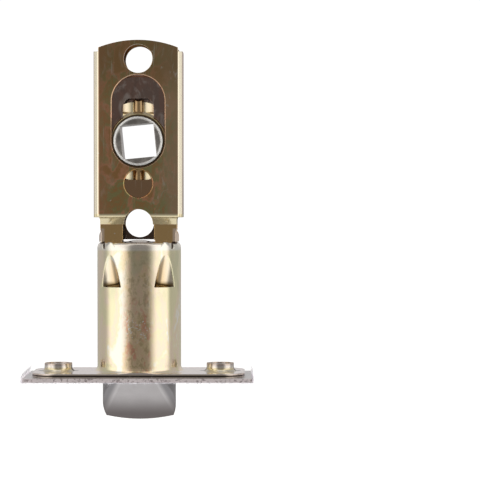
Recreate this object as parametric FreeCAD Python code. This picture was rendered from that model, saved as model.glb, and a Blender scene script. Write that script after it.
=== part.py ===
import FreeCAD, Part
import math
import os

# Tubular door latch for a square spindle, with a backset that slides between two settings.
# Millimetres. The faceplate's outer face lies at z = 0 and the bolt points down from it.
# The tube and the flat case rise along +Z, and the spindle runs along Y through the hub.

V = FreeCAD.Vector

# Setting and travel
backset = 60.0              # faceplate to spindle in the short setting
backset_travel = 10.0       # to the long setting
bolt_travel = 10.5
screw_spacing = 41.0        # the two wood screws of the faceplate
through_bolt_pitch = 41.3   # the two handle bolts, centred on the spindle

# Clearances
running_gap = 0.10          # between sheet parts that slide on each other
turning_gap = 0.10          # radial, between the hub and its bearing
bolt_gap = 0.25             # round the bolt in the faceplate
bolt_tube_gap = 0.55        # between the bolt and the tube's bore
bar_tube_gap = 0.30         # between the tail bars and the tube's bore
bar_barrel_gap = 0.40       # between the tail bars and the hub's barrel
bar_case_gap = 0.70         # between the tail bars and the case's sides
seat_tube_gap = 0.20        # round the spring's seat
tongue_gap = 0.45           # between the case's tongues and the tube's bore
tail_gap = 0.25             # round the tail bars where they pass a wall
stop_lap = 0.25             # how far the cam's arms reach past the case's inner side
pocket_gap = 0.25           # round the spring in its pocket
seat_gap = 0.05             # pieces of one body that are pressed together
nest_gap = 0.10             # between the two nested screw dimples
layer_gap = 0.20            # between the cam's layers and what passes them

# Faceplate and its film
faceplate_length = 57.0
faceplate_width = 25.0
faceplate_thickness = 1.0
film_thickness = 0.15
film_margin = 0.3
film_window_gap = 0.7
screw_hole_radius = 2.25
countersink_radius = 4.3
neck_wall = 0.6
neck_height = 3.7           # top of the faceplate's dimple
collar_height = 4.0         # top of the flange's dimple round it
collar_slot_width = 1.7

# Tube and flange, drawn from one sheet
flange_length = 53.4
flange_width = 22.0
flange_corner = 6.5
flange_thickness = 1.0
tube_radius = 10.6
tube_wall = 0.8
tube_length = 33.7          # from the faceplate's inner face to the tube's end
end_wall = 1.0
shoulder_radius = 1.3
foot_fillet = 1.3
bend_flats = 3              # both bends are rolled in this many narrow flats
dome_radius = 3.0
dome_height = 0.45
dent_angle = 41.0           # from the front and the back
dent_top = 31.6
dent_bottom = 23.5
dent_depth = 2.0
dent_radius = 4.4
crimp_angle = 54.0
crimp_height = 0.9          # below the tube's end
crimp_radius = 0.8
crimp_depth = 0.45

# Flat case, two pressed shells
case_edge_break = 0.2       # on the punched edges of the window and the setting hole
case_half_depth = 5.8
case_sheet = 1.0
case_bend = 1.2
flange_low = 40.9
flange_high = 82.4
arch_side_height = 83.4
arch_top_height = 85.3
seam_gap = 0.05
through_hole_radius = 3.6
setting_hole_radius = 3.5
window_radius = 6.6
joggle_step = 1.6
joggle_high = 41.5
joggle_low = 39.1
leg_inset = 0.4             # the legs stand in from the web's sides
leg_corner_rise = 3.0       # height of the corner bent back round the tube's end
wing_inset = 0.4            # from the tube's outside
wing_back = 1.6
wing_fall = 1.5
slot_half_width = 3.95
tongue_inner = 4.15
tongue_depth = 2.7          # into the tube's end

# Hub and cams
spindle_square = 8.4
spindle_turn = 5.6          # degrees, the square as it stands at rest
boss_radius = 6.15
boss_half_length = 6.2
barrel_half_length = 1.3
recess_radius = 5.6
recess_depth = 1.0
cam_ring_radius = 7.4
cam_collar_wall = 0.65      # the cam's bearing collar, round the hub's boss
ear_thickness = 0.8
ear_reach = 0.4             # the ear's tip goes this far past the pins' line
ear_tip_radius = 0.75
ear_angle = 42.0            # below level at rest
arm_half_width = 4.1        # of the whole cupped arm
arm_edge_gap = 0.15         # between the arm's swept edge and the case's sides
arm_thickness = 1.4
arm_web = 0.3               # beside the rib, where the arm is thinnest
arm_cup = 0.25              # sag of the curved web between the rib and the arm's edge
arm_rim_drop = 0.05         # the cupped edges stand this far behind the rib
arm_top_break = 0.5         # slope on the rib's end
rib_radius = 1.475
rib_corner = 0.6

# Carriage that holds the hub between the case shells
carriage_sheet = 0.8
carriage_side_gap = 0.2
carriage_low = 43.3
carriage_high = 76.8
carriage_edge_break = 0.25
carriage_corner = 1.5
bridge_half_width = 6.5
tie_gap = 0.4               # between the middle tongues and the hub's barrel
bridge_bend = 1.0
lobe_half_width = 3.85
lobe_high = 70.7
lobe_flat_half_width = 2.4
lobe_shoulder = 2.6
lobe_bulge = 0.325          # of the rounded shoulder past a straight one
lobe_low = 50.3

# Bolt, tail and spring
bolt_half_depth = 6.7
bolt_projection = 10.7
bolt_body_height = 9.0
bolt_crown = 1.0
bolt_tip_corner = 1.0
bevel_start = 0.6           # below the faceplate's outer face
bevel_middle = 6.3          # depth of the bevel at the bolt's middle plane
bevel_tip_depth = 4.6       # how far behind the middle plane the bevel meets the tip
pocket_wall = 1.0           # between the spring's pocket and the tail bars
pocket_floor = -1.0
bar_width = 2.5
bar_half_thickness = 1.2
bar_low = 1.5
bar_top_margin = 2.0
pin_inset = 0.9             # from the bar's outer edge
pin_radius = 0.7
pin_reach = 2.25
pin_drop = 4.7              # below the hub's axis at rest
rivet_radius = 0.8
rivet_height = 5.2
spring_wire = 0.8
spring_wire_sides = 6
spring_turns = 7.5
seat_thickness = 1.0
pilot_wall = 0.8
pilot_gap = 0.2
bolt_stop_gap = 1.7         # between the bolt drawn back and the seat's spigot

# Places that follow from the sizes above
flange_top = faceplate_thickness + flange_thickness
tube_top = faceplate_thickness + tube_length
tube_inner = tube_radius - tube_wall
bolt_radius = tube_inner - bolt_tube_gap
bar_outer = tube_inner - bar_tube_gap
bar_inner = bar_outer - bar_width
bar_middle = (bar_inner + bar_outer) / 2
pin_x = bar_outer - pin_inset
pocket_radius = bar_inner - pocket_wall
spring_radius = pocket_radius - pocket_gap - spring_wire / 2
seat_radius = tube_inner - seat_tube_gap
barrel_radius = bar_inner - bar_barrel_gap
side_inner = bar_outer + bar_case_gap
case_half_width = side_inner + case_sheet
web_half_width = case_half_width - case_bend
hub_height = backset
window_high = backset + backset_travel
upper_bolt_height = hub_height + through_bolt_pitch / 2
lower_bolt_height = hub_height - through_bolt_pitch / 2
setting_hole_height = window_high - through_bolt_pitch / 2
web_inner = case_half_depth - case_sheet
leg_outer = case_half_depth - joggle_step
leg_inner = leg_outer - case_sheet
leg_half_width = web_half_width - leg_inset
leg_corner_height = tube_top + leg_corner_rise
wing_outer_radius = tube_radius - wing_inset
wing_tip_height = leg_corner_height - wing_fall
tongue_half_width = math.sqrt(tube_inner ** 2 - leg_outer ** 2) - tongue_gap
leg_foot_half_width = tongue_half_width + seat_gap
tongue_low = tube_top - tongue_depth
carriage_half_width = side_inner - carriage_side_gap
carriage_outer = web_inner - running_gap
carriage_inner = carriage_outer - carriage_sheet
cam_bore = boss_radius + seat_gap
cam_collar_radius = cam_bore + cam_collar_wall
bearing_radius = cam_collar_radius + turning_gap
cam_outer = carriage_inner - layer_gap + seat_gap
cam_inner = barrel_half_length + running_gap
ear_length = pin_x + ear_reach
arm_length = side_inner + stop_lap
seat_high = dent_bottom - running_gap
seat_low = seat_high - seat_thickness
pilot_height = seat_low - bolt_body_height - bolt_travel - bolt_stop_gap
bar_high = window_high - pin_drop + bar_top_margin


def block(x_low, x_high, y_low, y_high, z_low, z_high):
    """A box between two corners."""
    return Part.makeBox(x_high - x_low, y_high - y_low, z_high - z_low, V(x_low, y_low, z_low))


def rod_z(radius, low, high, x=0.0, y=0.0):
    """A round bar standing along Z."""
    return Part.makeCylinder(radius, high - low, V(x, y, low))


def rod_y(radius, front, back, x=0.0, z=0.0):
    """A round bar lying along Y."""
    return Part.makeCylinder(radius, back - front, V(x, front, z), V(0, 1, 0))


def outline(start, steps):
    """A closed face: each step is one end point, or a middle and an end point of an arc."""
    edges = []
    here = start
    for step in steps:
        end = step[-1]
        if len(step) == 2:
            edges.append(Part.Arc(here, step[0], end).toShape())
        else:
            edges.append(Part.makeLine(here, end))
        here = end
    if here.distanceToPoint(start) > 1e-6:
        edges.append(Part.makeLine(here, start))
    return Part.Face(Part.Wire(edges))


def prism_y(face, front, back):
    """Carry a face that lies in the XZ plane from one depth to another."""
    return face.extrude(V(0, back - front, 0)).translated(V(0, front, 0))


def mirrored_x(shape):
    """The shape and its mirror image across the YZ plane."""
    return shape.fuse(shape.mirror(V(0, 0, 0), V(1, 0, 0)))


def mirrored_y(shape):
    """The shape and its mirror image across the XZ plane."""
    return shape.fuse(shape.mirror(V(0, 0, 0), V(0, 1, 0)))


def save(name, shape):
    """Write one piece, with its faces merged where they run on."""
    tidy = shape.removeSplitter()
    tidy.exportStep("parts/" + name + ".step")


def rounded_plate(length, width, corner, low, high):
    """An upright prism with a rounded rectangular outline, centred on the axis."""
    plate = block(-length / 2, length / 2, -width / 2, width / 2, low, high)
    upright = [edge for edge in plate.Edges if abs(edge.BoundBox.ZLength - (high - low)) < 1e-6]
    return plate.makeFillet(corner, upright)


def bolt_outline(gap):
    """The bolt's section, round with two flats, grown by a gap and standing across z = 0."""
    reach = bolt_projection + faceplate_thickness
    round_part = rod_z(bolt_radius + gap, -reach, reach)
    half_depth = bolt_half_depth + gap
    return round_part.common(block(-faceplate_length, faceplate_length, -half_depth, half_depth,
                                   -reach, reach))


def revolved(points, x):
    """Turn a closed outline of radius and height pairs about an upright axis at x."""
    corners = [V(x + radius, 0, height) for radius, height in points]
    face = Part.Face(Part.makePolygon(corners + corners[:1]))
    return face.revolve(V(x, 0, 0), V(0, 0, 1), 360)


# Screw dimples: the faceplate is pressed up into a countersink, and the flange nests over it.
# Both skins run parallel to a 90 degree cone, so a sheet's height offset is root two thicker.
cone_skin = neck_wall * math.sqrt(2)
neck_radius = screw_hole_radius + neck_wall
face_cone = countersink_radius + cone_skin
collar_inner = neck_radius + nest_gap
flange_cone_inner = face_cone + nest_gap
flange_cone_outer = flange_cone_inner + cone_skin
collar_outer = collar_inner + neck_wall


def faceplate_dimple(x):
    """The countersunk dimple of the faceplate, from its outer face to its neck."""
    cone_top = countersink_radius - screw_hole_radius
    return revolved([(countersink_radius, 0), (face_cone, 0), (face_cone - faceplate_thickness,
                     faceplate_thickness), (neck_radius, face_cone - neck_radius),
                     (neck_radius, neck_height), (screw_hole_radius, neck_height),
                     (screw_hole_radius, cone_top)], x)


def flange_dimple(x):
    """The flange's raised collar round the faceplate's neck, slotted on its left and right."""
    inner_foot = flange_cone_inner - faceplate_thickness
    outer_foot = flange_cone_outer - faceplate_thickness
    collar = revolved([(inner_foot, faceplate_thickness), (outer_foot, faceplate_thickness),
                       (flange_cone_outer - flange_top, flange_top),
                       (collar_outer, flange_cone_outer - collar_outer),
                       (collar_outer, collar_height), (collar_inner, collar_height),
                       (collar_inner, flange_cone_inner - collar_inner)], x)
    half_slot = collar_slot_width / 2
    slot = block(x - flange_width, x + flange_width, -half_slot, half_slot,
                 flange_top, collar_height + flange_thickness)
    return collar.cut(slot)


def make_faceplate():
    """Flat plate with a window for the bolt and two countersunk dimples."""
    plate = block(-faceplate_length / 2, faceplate_length / 2, -faceplate_width / 2,
                  faceplate_width / 2, 0, faceplate_thickness)
    plate = plate.cut(bolt_outline(bolt_gap))
    for x in (-screw_spacing / 2, screw_spacing / 2):
        throat = countersink_radius - faceplate_thickness
        cone = Part.makeCone(countersink_radius, throat, faceplate_thickness, V(x, 0, 0))
        plate = plate.cut(cone).fuse(faceplate_dimple(x))
    return plate


def make_protective_film():
    """Thin clear film on the outer face, a little larger than the plate."""
    half_length = faceplate_length / 2 + film_margin
    half_width = faceplate_width / 2 + film_margin
    film = block(-half_length, half_length, -half_width, half_width, -film_thickness, 0)
    film = film.cut(bolt_outline(film_window_gap))
    for x in (-screw_spacing / 2, screw_spacing / 2):
        film = film.cut(rod_z(countersink_radius, -film_thickness, 0, x))
    return film


def bend_points(centre, radius, start, end):
    """Where the flats of a rolled bend meet, round its centre from one angle to another."""
    points = []
    for flat in range(bend_flats + 1):
        angle = math.radians(start + (end - start) * flat / bend_flats)
        points.append(V(centre.x + radius * math.cos(angle), 0,
                        centre.z + radius * math.sin(angle)))
    return points


def tube_profile_body():
    """The drawn tube: flared foot, straight wall, rounded shoulder and shallow end dome."""
    sphere = (dome_radius ** 2 + dome_height ** 2) / (2 * dome_height)
    half = dome_radius / 2
    half_rise = dome_height - sphere + math.sqrt(sphere ** 2 - half ** 2)
    foot_r = tube_radius + foot_fillet
    foot = bend_points(V(foot_r, 0, flange_top + foot_fillet), foot_fillet, 270, 180)
    shoulder = bend_points(V(tube_radius - shoulder_radius, 0, tube_top - shoulder_radius),
                           shoulder_radius, 0, 90)
    inner_bend = shoulder_radius - tube_wall
    under = tube_top - end_wall
    under_bend = under - inner_bend
    inner_bend_r = tube_inner - inner_bend
    profile = outline(V(foot_r, 0, faceplate_thickness), [(point,) for point in foot + shoulder] + [
        (V(dome_radius, 0, tube_top),),
        (V(half, 0, tube_top + half_rise), V(0, 0, tube_top + dome_height)),
        (V(0, 0, under + dome_height),),
        (V(dome_radius, 0, under),),
        (V(inner_bend_r, 0, under),),
        (V(tube_inner, 0, under_bend),),
        (V(tube_inner, 0, faceplate_thickness),),
    ])
    return profile.revolve(V(0, 0, 0), V(0, 0, 1), 360)


def dent_cylinder(radius, angle):
    """A cylinder on the dent's slanting axis, with the given skin radius, at an angle."""
    rise = dent_top - dent_bottom
    slant = math.atan2(dent_depth, rise)
    along = V(math.sin(slant), 0, math.cos(slant))
    outward = V(math.cos(slant), 0, -math.sin(slant))
    deepest = V(tube_radius - dent_depth, 0, dent_bottom)
    base = deepest + outward * dent_radius - along * rise
    tool = Part.makeCylinder(radius, 3 * rise, base, along)
    above = block(-flange_length, flange_length, -flange_length, flange_length,
                  dent_bottom, dent_top + rise)
    return tool.common(above).rotated(V(0, 0, 0), V(0, 0, 1), angle)


def make_housing_tube():
    """One drawn piece: rounded flange, tube, pierced end, lanced dents and screw collars."""
    tall = rounded_plate(flange_length, flange_width, flange_corner, 0, tube_top + dome_height)
    flange = rounded_plate(flange_length, flange_width, flange_corner, faceplate_thickness,
                           flange_top)
    flange = flange.cut(rod_z(tube_inner, 0, tube_top))
    body = tube_profile_body().common(tall).fuse(flange)
    for x in (-screw_spacing / 2, screw_spacing / 2):
        throat = flange_cone_inner - flange_top
        cone = Part.makeCone(throat + flange_thickness, throat, flange_thickness,
                             V(x, 0, faceplate_thickness))
        body = body.cut(cone).fuse(flange_dimple(x))
    bore = rod_z(tube_radius, flange_top, tube_top)
    quarter = 90
    for side in (-quarter, quarter):
        for lean in (-dent_angle, dent_angle):
            angle = side + lean
            pressed = dent_cylinder(dent_radius, angle)
            skin = dent_cylinder(dent_radius + tube_wall, angle).cut(pressed).common(bore)
            body = body.cut(pressed).fuse(skin)
        for lean in (-crimp_angle, crimp_angle):
            reach = tube_radius - crimp_depth
            mark = Part.makeCylinder(crimp_radius, reach, V(reach, 0, tube_top - crimp_height),
                                     V(1, 0, 0)).rotated(V(0, 0, 0), V(0, 0, 1), side + lean)
            body = body.cut(mark)
    end_low = tube_top - 2 * end_wall
    end_high = tube_top + end_wall
    tongue_slot = block(tongue_inner - tail_gap, tongue_half_width + running_gap,
                        leg_inner - running_gap, leg_outer + running_gap, end_low, end_high)
    bar_slot = block(bar_inner - tail_gap, bar_outer + tail_gap, -bar_half_thickness - tail_gap,
                     bar_half_thickness + tail_gap, end_low, end_high)
    slots = mirrored_x(mirrored_y(tongue_slot).fuse(bar_slot))
    return body.cut(slots)


def case_window():
    """The obround window in which the hub's boss stands and slides, as a face."""
    return outline(V(-window_radius, 0, hub_height), [
        (V(-window_radius, 0, window_high),),
        (V(0, 0, window_high + window_radius), V(window_radius, 0, window_high)),
        (V(window_radius, 0, hub_height),),
        (V(0, 0, hub_height - window_radius), V(-window_radius, 0, hub_height)),
    ])


def leg_outline():
    """The shell below its side flanges: narrowed legs, with their lower corners cut away."""
    return outline(V(-web_half_width, 0, flange_low + case_bend), [
        (V(-web_half_width, 0, joggle_high),),
        (V(-leg_half_width, 0, joggle_low + case_bend),),
        (V(-leg_half_width, 0, leg_corner_height),),
        (V(-leg_foot_half_width, 0, tube_top),),
        (V(-tongue_half_width, 0, tube_top),),
        (V(-tongue_half_width, 0, tongue_low),),
        (V(tongue_half_width, 0, tongue_low),),
        (V(tongue_half_width, 0, tube_top),),
        (V(leg_foot_half_width, 0, tube_top),),
        (V(leg_half_width, 0, leg_corner_height),),
        (V(leg_half_width, 0, joggle_low + case_bend),),
        (V(web_half_width, 0, joggle_high),),
        (V(web_half_width, 0, flange_low + case_bend),),
    ])


def joggled_sheet():
    """The web's lower end as a sheet that steps in from the case's face to the legs."""
    section = outline(V(0, -case_half_depth, flange_low + case_bend), [
        (V(0, -case_half_depth, joggle_high),),
        (V(0, -leg_outer, joggle_low),),
        (V(0, -leg_outer, tongue_low),),
        (V(0, -leg_inner, tongue_low),),
        (V(0, -leg_inner, joggle_low),),
        (V(0, -web_inner, joggle_high),),
        (V(0, -web_inner, flange_low + case_bend),),
    ])
    return section.extrude(V(2 * web_half_width, 0, 0)).translated(V(-web_half_width, 0, 0))


def leg_wing():
    """The corner of a leg, bent back round the tube's end, with a falling top edge."""
    ring = rod_z(wing_outer_radius, tube_top + seat_gap, leg_corner_height)
    ring = ring.cut(rod_z(wing_outer_radius - case_sheet, tube_top, leg_corner_height))
    sector = block(0, wing_outer_radius, -leg_outer, -wing_back, tube_top, leg_corner_height)
    above = outline(V(0, -leg_outer, leg_corner_height), [
        (V(0, -wing_back, wing_tip_height),),
        (V(0, -wing_back, leg_corner_height),),
    ]).extrude(V(wing_outer_radius, 0, 0))
    return ring.common(sector).cut(above)


def case_shell(slotted):
    """The front shell: arched web, side flanges round a bend, and two legs into the tube."""
    side = case_half_width
    flanged = block(-side, side, -case_half_depth, case_half_depth, flange_low, flange_high)
    bends = [edge for edge in flanged.Edges
             if abs(edge.BoundBox.ZLength - (flange_high - flange_low)) < 1e-6]
    flanged = flanged.makeFillet(case_bend, bends)
    hollow_side = side - case_sheet
    hollow = block(-hollow_side, hollow_side, -web_inner, web_inner, flange_low, flange_high)
    bends = [edge for edge in hollow.Edges
             if abs(edge.BoundBox.ZLength - (flange_high - flange_low)) < 1e-6]
    hollow = hollow.makeFillet(case_bend - case_sheet, bends)
    back = block(-side, side, -seam_gap, case_half_depth, flange_low, flange_high)
    channel = flanged.cut(hollow).cut(back)

    arched = outline(V(-web_half_width, 0, flange_high - case_bend), [
        (V(-web_half_width, 0, arch_side_height),),
        (V(0, 0, arch_top_height), V(web_half_width, 0, arch_side_height)),
        (V(web_half_width, 0, flange_high - case_bend),),
    ])
    top = prism_y(arched, -case_half_depth, -web_inner)
    lower = joggled_sheet().common(prism_y(leg_outline(), -case_half_depth, 0))
    shell = channel.fuse([top, lower, mirrored_x(leg_wing())])

    depth = 2 * case_half_depth
    openings = prism_y(case_window(), -depth, 0)
    openings = openings.fuse(rod_y(through_hole_radius, -depth, 0, 0, upper_bolt_height))
    openings = openings.fuse(rod_y(through_hole_radius, -depth, 0, 0, lower_bolt_height))
    openings = openings.fuse(rod_y(setting_hole_radius, -depth, 0, 0, setting_hole_height))
    if slotted:
        openings = openings.fuse(block(-slot_half_width, slot_half_width, -depth, 0,
                                       0, joggle_low))
    openings = openings.fuse(block(-tongue_inner, tongue_inner, -depth, 0,
                                   0, tube_top + dome_height + seat_gap))
    shell = shell.cut(openings)
    low = setting_hole_height - setting_hole_radius
    high = window_high + window_radius
    rims = [edge for edge in shell.Edges
            if edge.BoundBox.YMax < seat_gap - case_half_depth
            and edge.BoundBox.XMax < window_radius + seat_gap
            and edge.BoundBox.XMin > -window_radius - seat_gap
            and edge.BoundBox.ZMin > low - seat_gap
            and edge.BoundBox.ZMax < high + seat_gap]
    return shell.makeChamfer(case_edge_break, rims)


def make_case_front():
    """The shell on the viewer's side, with a slot between its legs for the handle bolt."""
    return case_shell(True)


def make_case_back():
    """The shell behind, the same pressing but with a whole bolt hole."""
    return case_shell(False).mirror(V(0, 0, 0), V(0, 1, 0))


def turned(shape, degrees):
    """Turn a shape about the hub's axis, anticlockwise as seen from the front."""
    return shape.rotated(V(0, 0, hub_height), V(0, 1, 0), -degrees)


def make_spindle_hub():
    """The hub: two bosses, a wider barrel between, end recesses and the square through it."""
    hub = rod_y(boss_radius, -boss_half_length, boss_half_length, 0, hub_height)
    hub = hub.fuse(rod_y(barrel_radius, -barrel_half_length, barrel_half_length, 0, hub_height))
    floor = boss_half_length - recess_depth
    hub = hub.cut(rod_y(recess_radius, -boss_half_length, -floor, 0, hub_height))
    hub = hub.cut(rod_y(recess_radius, floor, boss_half_length, 0, hub_height))
    half = spindle_square / 2
    square = block(-half, half, -boss_half_length, boss_half_length,
                   hub_height - half, hub_height + half)
    return hub.cut(turned(square, spindle_turn))


def cam_ear(degrees):
    """A thin ear with a round tip, which lifts a pin of the tail."""
    tip = rod_y(ear_tip_radius, -cam_inner - ear_thickness, -cam_inner, ear_length, hub_height)
    neck = block(cam_bore, ear_length, -cam_inner - ear_thickness, -cam_inner,
                 hub_height - ear_tip_radius, hub_height + ear_tip_radius)
    return turned(tip.fuse(neck), degrees)


def arm_section():
    """The arm across its length: a half round rib with a cupped web on either side of it."""
    foot = hub_height + cam_bore
    front = seat_gap - cam_outer
    back = arm_thickness - cam_outer
    root = back - arm_web
    rim = front + arm_rim_drop
    root_x = math.sqrt(rib_radius ** 2 - (front + rib_radius - root) ** 2)
    cup_x = (root_x + arm_half_width) / 2
    cup = (root + rim) / 2 + arm_cup
    return outline(V(-arm_half_width, back, foot), [
        (V(-arm_half_width, rim, foot),),
        (V(-cup_x, cup, foot), V(-root_x, root, foot)),
        (V(0, front, foot), V(root_x, root, foot)),
        (V(cup_x, cup, foot), V(arm_half_width, rim, foot)),
        (V(arm_half_width, back, foot),),
    ])


def cam_arm(direction):
    """A cupped and ribbed arm above or below the hub; its rib stops on the case's sides."""
    foot = hub_height + cam_bore
    top = hub_height + arm_length
    bar = arm_section().extrude(V(0, 0, arm_length - cam_bore))
    sweep = rod_y(side_inner - arm_edge_gap, -case_half_depth, 0, 0, hub_height)
    side = rib_radius
    turn = rib_corner * (1 - math.sqrt(0.5))
    rib_end = outline(V(-side, 0, foot), [
        (V(-side, 0, top - rib_corner),),
        (V(-side + turn, 0, top - turn), V(-side + rib_corner, 0, top)),
        (V(side - rib_corner, 0, top),),
        (V(side - turn, 0, top - turn), V(side, 0, top - rib_corner)),
        (V(side, 0, foot),),
    ])
    kept = sweep.fuse(prism_y(rib_end, -case_half_depth, 0))
    slope = outline(V(-side, -cam_outer, top - arm_top_break), [
        (V(-side, arm_top_break - cam_outer, top),),
        (V(-side, -case_half_depth, top),),
    ]).extrude(V(2 * side, 0, 0))
    return turned(bar.common(kept).cut(slope), direction)


def make_cam_front():
    """One cam: a ring with a bearing collar on the hub's boss, two ears and two arms."""
    cam = rod_y(cam_ring_radius, -cam_outer, -cam_inner, 0, hub_height)
    cam = cam.fuse(rod_y(cam_collar_radius, running_gap - carriage_outer, -cam_outer,
                         0, hub_height))
    for degrees in (-ear_angle, 180 + ear_angle):
        cam = cam.fuse(cam_ear(degrees))
    for direction in (0, 180):
        cam = cam.fuse(cam_arm(direction))
    return cam.cut(rod_y(cam_bore, -carriage_outer, -cam_inner, 0, hub_height))


def make_cam_back():
    """The same cam on the back boss."""
    return make_cam_front().mirror(V(0, 0, 0), V(0, 1, 0))


def lobe_face():
    """The opening through the carriage beside its bearing, above and below the hub."""
    side = lobe_half_width
    flat = lobe_flat_half_width
    shoulder = lobe_high - lobe_shoulder
    middle_x = (side + flat) / 2 + lobe_bulge
    middle_z = (lobe_high + shoulder) / 2 + lobe_bulge
    return outline(V(-side, 0, lobe_low), [
        (V(-side, 0, shoulder),),
        (V(-middle_x, 0, middle_z), V(-flat, 0, lobe_high)),
        (V(flat, 0, lobe_high),),
        (V(middle_x, 0, middle_z), V(side, 0, shoulder)),
        (V(side, 0, lobe_low),),
    ])


def make_hub_carriage():
    """Folded sheet astride the hub: two bearing plates, joined above and below it."""
    width = carriage_half_width
    corner = carriage_corner
    turn = corner * (1 - math.sqrt(0.5))
    low = carriage_low
    shoulder = carriage_high - bridge_bend - carriage_sheet
    plate = outline(V(-width, 0, low + corner), [
        (V(-width + turn, 0, low + turn), V(-width + corner, 0, low)),
        (V(width - corner, 0, low),),
        (V(width - turn, 0, low + turn), V(width, 0, low + corner)),
        (V(width, 0, shoulder - corner),),
        (V(width - turn, 0, shoulder - turn), V(width - corner, 0, shoulder)),
        (V(-width + corner, 0, shoulder),),
        (V(-width + turn, 0, shoulder - turn), V(-width, 0, shoulder - corner)),
    ])
    plates = mirrored_y(prism_y(plate, -carriage_outer, -carriage_inner))
    bridge = block(-bridge_half_width, bridge_half_width, -carriage_outer, carriage_outer,
                   lobe_high + corner, carriage_high)
    bends = [edge for edge in bridge.Edges
             if edge.BoundBox.XLength > bridge_half_width
             and edge.BoundBox.ZMin > carriage_high - seat_gap]
    bridge = bridge.makeFillet(bridge_bend, bends)
    inside = block(-bridge_half_width, bridge_half_width, -carriage_inner, carriage_inner,
                   low, carriage_high - carriage_sheet)
    bends = [edge for edge in inside.Edges
             if edge.BoundBox.XLength > bridge_half_width
             and edge.BoundBox.ZMin > carriage_high - carriage_sheet - seat_gap]
    inside = inside.makeFillet(bridge_bend - carriage_sheet, bends)
    half_sheet = carriage_sheet / 2
    clear = barrel_radius + tie_gap
    foot = block(-bridge_half_width, bridge_half_width, -carriage_outer, carriage_outer,
                 low, low + carriage_sheet)
    tongue_up = block(-bridge_half_width, bridge_half_width, -half_sheet, half_sheet,
                      hub_height + clear, carriage_high - half_sheet)
    tongue_down = block(-bridge_half_width, bridge_half_width, -half_sheet, half_sheet,
                        low, hub_height - clear)
    depth = 2 * case_half_depth
    hole = rod_y(bearing_radius, -depth, depth, 0, hub_height)
    hole = hole.fuse(prism_y(lobe_face(), -depth, depth))
    bevel = Part.makeCone(bearing_radius + carriage_edge_break, bearing_radius,
                          carriage_edge_break, V(0, -carriage_outer, hub_height), V(0, 1, 0))
    shell = plates.fuse(bridge.cut(inside)).cut(hole).cut(mirrored_y(bevel))
    return shell.fuse([foot, tongue_up, tongue_down])


def make_bolt_head():
    """The bolt: round body with two flats, a crowned bevel, a spring pocket and tail slots."""
    low = -bolt_projection
    body = rod_z(bolt_radius, low, bolt_body_height)
    body = body.common(block(-bolt_radius, bolt_radius, -bolt_half_depth, bolt_half_depth,
                             low, bolt_body_height))
    side = bolt_radius
    corner = bolt_tip_corner
    turn = corner * (1 - math.sqrt(0.5))
    side_low = low + bolt_crown
    tip = outline(V(-side, 0, bolt_body_height), [
        (V(-side, 0, side_low + corner),),
        (V(-side + turn, 0, side_low + turn), V(-side + corner, 0, side_low)),
        (V(0, 0, low), V(side - corner, 0, side_low)),
        (V(side - turn, 0, side_low + turn), V(side, 0, side_low + corner)),
        (V(side, 0, bolt_body_height),),
    ])
    body = body.common(prism_y(tip, -side, side))
    reach = 2 * side
    bevel = outline(V(0, -bolt_half_depth, -bevel_start), [
        (V(0, 0, -bevel_middle), V(0, bevel_tip_depth, low)),
        (V(0, bevel_tip_depth, low - side),),
        (V(0, -reach, low - side),),
        (V(0, -reach, -bevel_start),),
    ])
    body = body.cut(bevel.extrude(V(2 * reach, 0, 0)).translated(V(-reach, 0, 0)))
    body = body.cut(rod_z(pocket_radius, pocket_floor, bolt_body_height))
    bar_slot = block(bar_inner - seat_gap, side, -bar_half_thickness - seat_gap,
                     bar_half_thickness + seat_gap, bar_low, bolt_body_height)
    body = body.cut(mirrored_x(bar_slot))
    for x in (-bar_middle, bar_middle):
        body = body.cut(rod_y(rivet_radius, -side, side, x, rivet_height))
    return body


def make_tail_bar_right():
    """One bar of the tail, from its slot in the bolt up past the hub, with round ends."""
    half = bar_width / 2
    face = outline(V(bar_inner, 0, bar_low), [
        (V(bar_inner, 0, bar_high - half),),
        (V(bar_middle, 0, bar_high), V(bar_outer, 0, bar_high - half)),
        (V(bar_outer, 0, bar_low),),
    ])
    bar = prism_y(face, -bar_half_thickness, bar_half_thickness)
    bar = bar.cut(rod_y(rivet_radius, -pin_reach, pin_reach, bar_middle, rivet_height))
    for setting in (hub_height, window_high):
        bar = bar.cut(rod_y(pin_radius, -pin_reach, pin_reach, pin_x, setting - pin_drop))
    return bar


def make_tail_bar_left():
    """The other bar, on the left of the hub."""
    return make_tail_bar_right().mirror(V(0, 0, 0), V(1, 0, 0))


def make_lift_pins():
    """Four pins across the tail bars, a pair for each backset setting."""
    pins = [rod_y(pin_radius, -pin_reach, pin_reach, x, setting - pin_drop)
            for x in (-pin_x, pin_x) for setting in (hub_height, window_high)]
    return Part.makeCompound(pins)


def make_tail_rivets():
    """The two rivets that hold the tail bars in the bolt."""
    flush = rod_z(bolt_radius, 0, bolt_body_height)
    return Part.makeCompound([rod_y(rivet_radius, -bolt_half_depth, bolt_half_depth, x,
                                    rivet_height).common(flush)
                              for x in (-bar_middle, bar_middle)])


def make_spring_seat():
    """A disc under the tube's dents, cut away round the tail bars, with a spigot for the spring."""
    seat = rod_z(seat_radius, seat_low, seat_high)
    pilot_radius = spring_radius - spring_wire / 2 - pilot_gap
    seat = seat.fuse(rod_z(pilot_radius, seat_low - pilot_height, seat_low))
    seat = seat.cut(rod_z(pilot_radius - pilot_wall, seat_low - pilot_height, seat_high))
    bar_way = block(bar_inner - tail_gap, seat_radius, -bar_half_thickness - tail_gap,
                    bar_half_thickness + tail_gap, seat_low, seat_high)
    return seat.cut(mirrored_x(bar_way))


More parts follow.
